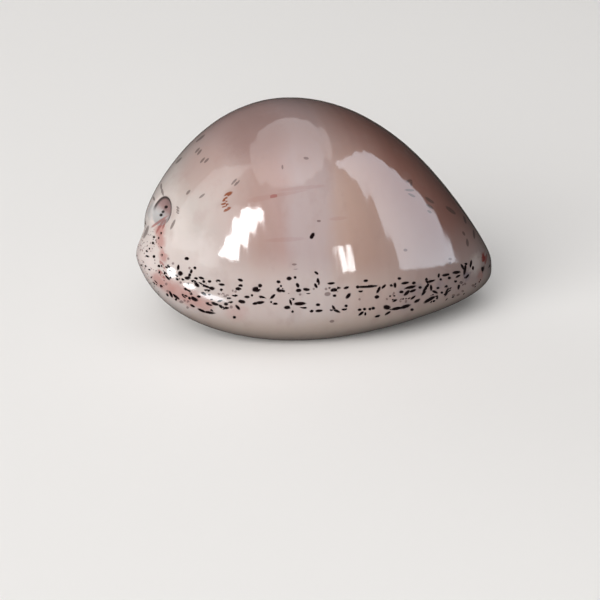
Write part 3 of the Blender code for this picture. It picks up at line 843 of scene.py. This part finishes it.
def scattered_marks(surface, centres, normals, areas):
    """Random marks, given like the seen ones, each on a face drawn from its own zone. A mark for the far side
    is drawn again where the camera sees it."""
    draw = random.Random(SCATTER_SEED)
    lower = np.interp(centres[:, 0], *zip(*BAND_LOWER))
    upper = np.interp(centres[:, 0], *zip(*BAND_UPPER))
    share = (centres[:, 2] - lower) / (upper - lower)
    outer = (normals * centres) @ np.array(OUTSIDE_WEIGHTS) > 0
    banded = outer & (share > 0.0) & (share < 1.0)
    lowest, highest = END_SPECKS_SHARES
    near_ends = outer & (centres[:, 1] < 0) & (share > lowest) & (share < highest)
    near_ends &= np.abs(centres[:, 0] - END_SPECKS_MIDDLE_X) > END_SPECKS_BEYOND
    lobe = outer & (centres[:, 0] < REAR_SPECKS_BEFORE_X)
    lobe &= centres[:, 2] < PIT_CENTRE[2] - REAR_SPECKS_BELOW_PIT
    zones = (
        (FAR_SPOTS, banded, DARK, True),
        (FAR_SPECKS, banded, FAINT, True),
        (REAR_SPECKS, lobe, FAINT, False),
        (END_SPECKS, near_ends, DARK, False),
    )
    eye = camera_place()
    found = []
    for (count, lengths, breadths), zone, kind, far in zones:
        chosen = np.flatnonzero(zone)
        sums = np.cumsum(areas[chosen]).tolist()
        left = count
        while left:
            face = draw.choices(chosen, cum_weights=sums)[0]
            centre, normal = Vector(centres[face]), Vector(normals[face])
            sight = (eye - centre * MM).normalized()
            if far and surface.ray_cast((centre + normal * SIGHT_LIFT) * MM, sight)[0] is None:
                continue
            along = Vector((1.0, draw.gauss(0.0, STRAY_SIDEWAYS), draw.gauss(0.0, STRAY_UP)))
            along = (along - normal * along.dot(normal)).normalized()
            length = lengths[0] + (lengths[1] - lengths[0]) * draw.random() ** SHORTNESS
            breadth = draw.uniform(*breadths)
            sizes = ((length + breadth) / 2, breadth / 2, MARK_DEPTH)
            found.append((centre, (along, normal.cross(along), normal), sizes, kind))
            left -= 1
    return found


def read(items, name, width=1, kind=float):
    """A value, or a vector of this width, from each of a mesh's items."""
    values = np.empty(len(items) * width, kind)
    items.foreach_get(name, values)
    return values.reshape(-1, width) if width > 1 else values


def place_marks(mesh):
    """Write each face's nearest mark to the mesh: its corners' places in the mark's own axes, in half sizes,
    and the mark's kind."""
    surface = BVHTree.FromPolygons([v.co for v in mesh.vertices], [p.vertices for p in mesh.polygons])
    centres = read(mesh.polygons, "center", 3) / MM
    normals = read(mesh.polygons, "normal", 3)
    found = seen_marks(surface) + scattered_marks(surface, centres, normals, read(mesh.polygons, "area"))

    nearest = np.full(len(centres), MARK_REACH)
    own = np.zeros(len(centres), int)
    for number, (centre, axes, sizes, _) in enumerate(found):
        scaled = (centres - np.array(centre)) @ np.array(axes).T / np.array(sizes)
        distance = np.linalg.norm(scaled, axis=1)
        closer = distance < nearest
        nearest[closer] = distance[closer]
        own[closer] = number

    of_corner = np.repeat(np.arange(len(centres)), read(mesh.polygons, "loop_total", 1, int))
    corners = read(mesh.vertices, "co", 3)[read(mesh.loops, "vertex_index", 1, int)] / MM
    columns = [np.array(column, float) for column in zip(*found)]
    middles, all_axes, all_sizes, kinds = (column[own[of_corner]] for column in columns)
    places = np.einsum("cij,cj->ci", all_axes, corners - middles) / all_sizes
    places[nearest[of_corner] >= MARK_REACH] = MARK_REACH
    written = mesh.attributes.new("mark_place", "FLOAT_VECTOR", "CORNER")
    written.data.foreach_set("vector", places.astype(np.float32).ravel())
    written = mesh.attributes.new("mark_kind", "FLOAT", "CORNER")
    written.data.foreach_set("value", kinds.astype(np.float32))


def skin_colour(shader, place, fine, mottle, base_colour):
    """The shell's colours under the marks and round the pit: its back, with painted shade on its upper front,
    its margin, base, mottling and stains, and pale patches that are partly painted highlights.
    """
    drift = shader.noise(place, *SLOW_NOISE, 1) - 0.5
    blur = BACK_SWAY * shader.parts(drift)[0] + BACK_BLUR * shader.parts(fine)[0]
    skin = shader.profile(shader.parts(place)[0] + blur, BACK_COLOURS)
    # The overlays, one after another; the upper front's is partly painted shade.
    for colour, strength, edges in [*COLOUR_AND_SHADE_OVERLAYS, (base_colour, 1.0, [BASE_EDGE])]:
        share = strength
        for direction, sway, low, high in edges:
            share = share * shader.step(shader.dot(place, direction) + shader.dot(drift, sway), low, high)
        skin = shader.mix(skin, rgba(colour), share)
    skin = shader.mix(skin, rgba(MOTTLE_COLOUR), shader.step(mottle, *MOTTLE_RANGE) * MOTTLE_STRENGTH)
    for centre, reach, strength, colour in PATCHES:
        near = shader.length(place - centre + fine * PATCH_RAGGEDNESS)
        inside = shader.step(near, reach, PATCH_FULL_SHARE * reach)
        skin = shader.mix(skin, rgba(colour), inside * strength)
    return skin


def with_pit(shader, place, fine, skin):
    """The skin's colours with the pit's over them, and how much of each point is in the pit."""
    centre = tuple(np.array(PIT_CENTRE) - FORM_ORIGIN)
    axis = tuple(np.array(PIT_AXIS) / np.linalg.norm(PIT_AXIS))
    away = place - centre
    flat = away - shader.dot(away, axis) * shader.node("ShaderNodeCombineXYZ", {}, dict(enumerate(axis)))
    radius = shader.length(flat)
    away_x, _, away_z = shader.parts(away + fine * PIT_BLUR)
    up_slope = shader.step(away_z + PIT_SLOPE_LEAN * away_x, *PIT_SLOPE_EDGE)
    rear_end = shader.step(shader.parts(place)[0], *REAR_END)
    in_pit = shader.step(radius, *PIT_EDGE) * rear_end
    skin = shader.mix(skin, shader.mix(rgba(PIT_COLOUR), rgba(PIT_SLOPE_COLOUR), up_slope), in_pit)
    outline = shader.step(radius, *PIT_OUTLINE_INNER) * shader.step(radius, *PIT_OUTLINE_OUTER)
    outline = outline * shader.step(away_z + PIT_OUTLINE_LEAN * away_x, *PIT_OUTLINE_EDGE)
    return shader.mix(skin, rgba(PIT_OUTLINE_COLOUR), outline * rear_end), in_pit


def with_marks(shader, fine, skin, spot_colour):
    """The skin's colours with the marks' over them, and how much of each point is marked."""
    place = shader.node("ShaderNodeAttribute", {"attribute_name": "mark_place"}, {}, "Vector")
    kind = shader.node("ShaderNodeAttribute", {"attribute_name": "mark_kind"}, {}, "Fac")
    _, colours, strengths = zip(*MARK_KINDS)
    colours = (tuple(spot_colour), *colours[1:])
    marked = shader.step(shader.length(place + fine * MARK_RAGGEDNESS), *MARK_EDGE)
    marked = marked * shader.profile(kind, list(enumerate(strengths)))
    return shader.mix(skin, shader.profile(kind, list(enumerate(colours))), marked), marked


def shell_material(settings):
    """The glossy shell: its skin, pit and marks under a smooth coat, with fine growth lines."""
    shader = Shader("glossy_shell")
    place = shader.node("ShaderNodeTexCoord", {}, {}, "Object") / MM
    fine = shader.noise(place, *FINE_NOISE, 1) - 0.5
    mottle = shader.noise(place * MOTTLE_STRETCH, *MOTTLE_NOISE)
    skin = skin_colour(shader, place, fine, mottle, settings.base_colour)
    skin, in_pit = with_pit(shader, place, fine, skin)
    skin, marked = with_marks(shader, fine, skin, settings.spot_colour)
    lines = shader.noise(place * LINE_STRETCH, *LINE_NOISE)
    bump = shader.node("ShaderNodeBump", {}, {"Strength": 0.25, "Distance": LINE_DEPTH, "Height": lines})
    roughness = settings.roughness + MOTTLE_ROUGHNESS * shader.step(mottle, *MOTTLE_ROUGH_RANGE)
    surface = shader.node(
        "ShaderNodeBsdfPrincipled",
        {},
        {
            "Base Color": skin,
            "Roughness": roughness + PIT_ROUGHNESS * in_pit,
            "Normal": bump,
            "IOR": 1.5,
            "Subsurface Weight": 0.06,
            "Subsurface Radius": (1.0, 0.5, 0.35),
            "Subsurface Scale": 0.0012,
            "Coat Weight": COAT_WEIGHT - COAT_WEIGHT * shader.larger(marked, in_pit),
            "Coat Roughness": COAT_ROUGHNESS,
        },
    )
    shader.node("ShaderNodeOutputMaterial", {}, {"Surface": surface})
    return shader.material


def floor_material(colour):
    """The pale matt floor: faintly clouded, and darker away from the shell through painted shade, a painted
    falloff of the light.
    """
    shader = Shader("floor")
    place = shader.node("ShaderNodeTexCoord", {}, {}, "Object")
    cloud = shader.noise(place, 3.0, 3.0)
    paler = tuple(min(1.0, part * FLOOR_CLOUDS) for part in colour)
    near = shader.mix(rgba(colour), rgba(paler), cloud)
    # Painted shade: the floor is darker further from the shell, as if the light fell off.
    far = shader.step(shader.length(place), *FLOOR_FALLOFF_RANGE)
    surface = shader.node(
        "ShaderNodeBsdfPrincipled",
        {},
        {
            "Base Color": shader.mix(near, rgba(FLOOR_FALLOFF_SHADE), far),
            "Roughness": FLOOR_ROUGHNESS + CLOUD_ROUGHNESS * cloud,
            "Specular IOR Level": 0.1,
        },
    )
    shader.node("ShaderNodeOutputMaterial", {}, {"Surface": surface})
    return shader.material


def back_of_view(azimuth, elevation):
    """The direction from the object towards a viewer or a lamp."""
    a, e = math.radians(azimuth), math.radians(elevation)
    return Vector((math.sin(a) * math.cos(e), -math.cos(a) * math.cos(e), math.sin(e)))


def add_object(name, data, collection):
    thing = bpy.data.objects.new(name, data)
    collection.objects.link(thing)
    return thing


def facing_turn(back, roll):
    """The rotation of a camera or a lamp that has this direction at its back, rolled by so many degrees."""
    return back.to_track_quat("Z", "Y").to_matrix() @ Matrix.Rotation(math.radians(roll), 3, "Z")


def camera_turn():
    return facing_turn(back_of_view(CAMERA_AZIMUTH, CAMERA_ELEVATION), CAMERA_ROLL)


def camera_place():
    return (Vector(CAMERA_AIM) + back_of_view(CAMERA_AZIMUTH, CAMERA_ELEVATION) * CAMERA_DISTANCE) * MM


def add_lamp(collection, values, lights):
    """An area lamp that faces the shell, with the same radiance whatever its size. It gives light, or else it
    is only seen in the gloss."""
    name, azimuth, elevation, roll, distance, width, height, radiance, colour, shape = values
    lamp = bpy.data.lights.new(name, "AREA")
    lamp.shape = shape
    lamp.size = width
    lamp.size_y = height
    lamp.energy = radiance * width * height * math.pi * (math.pi / 4 if shape == "ELLIPSE" else 1.0)
    lamp.color = colour
    holder = add_object(name, lamp, collection)
    holder.visible_camera = False
    holder.visible_diffuse = lights
    holder.visible_glossy = not lights
    back = back_of_view(azimuth, elevation)
    holder.location = Vector(LAMP_TARGET) + back * distance
    holder.rotation_euler = facing_turn(back, roll).to_euler()
    return holder


class COWRIE_OT_shell(bpy.types.Operator):
    """Build the shell and its glossy spotted material in the frame's place."""

    bl_idname = "cowrie.shell"
    bl_label = "Build the shell"

    def execute(self, context):
        settings = context.scene.cowrie_shell
        points = fit_to_box(shell_rings(settings), NODE_BOX)
        mesh = shell_mesh(points)
        place_marks(mesh)
        shell = add_object("shell", mesh, context.scene.collection)
        shell.data.materials.append(shell_material(settings))
        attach(shell, "root")
        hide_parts(NODE)
        return {"FINISHED"}


class COWRIE_OT_studio(bpy.types.Operator):
    """Build the pale floor, the soft lamps and the camera."""

    bl_idname = "cowrie.studio"
    bl_label = "Build the studio"

    def execute(self, context):
        scene = context.scene
        settings = scene.cowrie_stage
        mesh = bpy.data.meshes.new("floor")
        bm = bmesh.new()
        bmesh.ops.create_circle(bm, cap_ends=True, radius=FLOOR_RADIUS, segments=96)
        bm.to_mesh(mesh)
        bm.free()
        floor = add_object("floor", mesh, scene.collection)
        floor.data.materials.append(floor_material(settings.floor_colour))
        # The floor gives the shell no light and isn't seen in its gloss, as in the photograph's dark room.
        floor.visible_diffuse = False
        floor.visible_glossy = False
        for lamp in GLOSS_LAMPS:
            add_lamp(scene.collection, lamp, False)
        for lamp in LIGHT_LAMPS:
            add_lamp(scene.collection, lamp, True)
        floor_alone = bpy.data.collections.new("floor_alone")
        floor_alone.objects.link(floor)
        floor_lamp = add_lamp(scene.collection, FLOOR_LAMP, True)
        floor_lamp.light_linking.receiver_collection = floor_alone

        world = bpy.data.worlds.new("studio")
        world.use_nodes = True
        background = world.node_tree.nodes["Background"]
        background.inputs["Color"].default_value = rgba(ROOM_COLOUR)
        background.inputs["Strength"].default_value = settings.room_light
        scene.world = world
        scene.view_settings.view_transform = "Standard"

        camera = add_object("camera", bpy.data.cameras.new("camera"), scene.collection)
        camera.data.lens = CAMERA_LENS
        camera.data.sensor_width = SENSOR_WIDTH
        camera.data.clip_start = 0.01
        camera.location = camera_place()
        camera.rotation_euler = camera_turn().to_euler()
        scene.camera = camera
        return {"FINISHED"}


class COWRIE_PT_sidebar(bpy.types.Panel):
    """The shell's settings and operators, in the 3D view's sidebar."""

    bl_idname = "COWRIE_PT_sidebar"
    bl_label = "Cowrie shell"
    bl_space_type = "VIEW_3D"
    bl_region_type = "UI"
    bl_category = "Shell"

    def draw(self, context):
        for settings in (context.scene.cowrie_shell, context.scene.cowrie_stage):
            for name in settings.__annotations__:
                self.layout.prop(settings, name)
        self.layout.operator(COWRIE_OT_shell.bl_idname)
        self.layout.operator(COWRIE_OT_studio.bl_idname)


CLASSES = (ShellSettings, StageSettings, COWRIE_OT_shell, COWRIE_OT_studio, COWRIE_PT_sidebar)


def register():
    for cls in CLASSES:
        bpy.utils.register_class(cls)
    bpy.types.Scene.cowrie_shell = bpy.props.PointerProperty(type=ShellSettings)
    bpy.types.Scene.cowrie_stage = bpy.props.PointerProperty(type=StageSettings)


def unregister():
    del bpy.types.Scene.cowrie_stage
    del bpy.types.Scene.cowrie_shell
    for cls in reversed(CLASSES):
        bpy.utils.unregister_class(cls)


def main():
    register()
    bpy.ops.cowrie.shell()
    bpy.ops.cowrie.studio()
    bpy.context.view_layer.update()


if __name__ == "__main__":
    main()
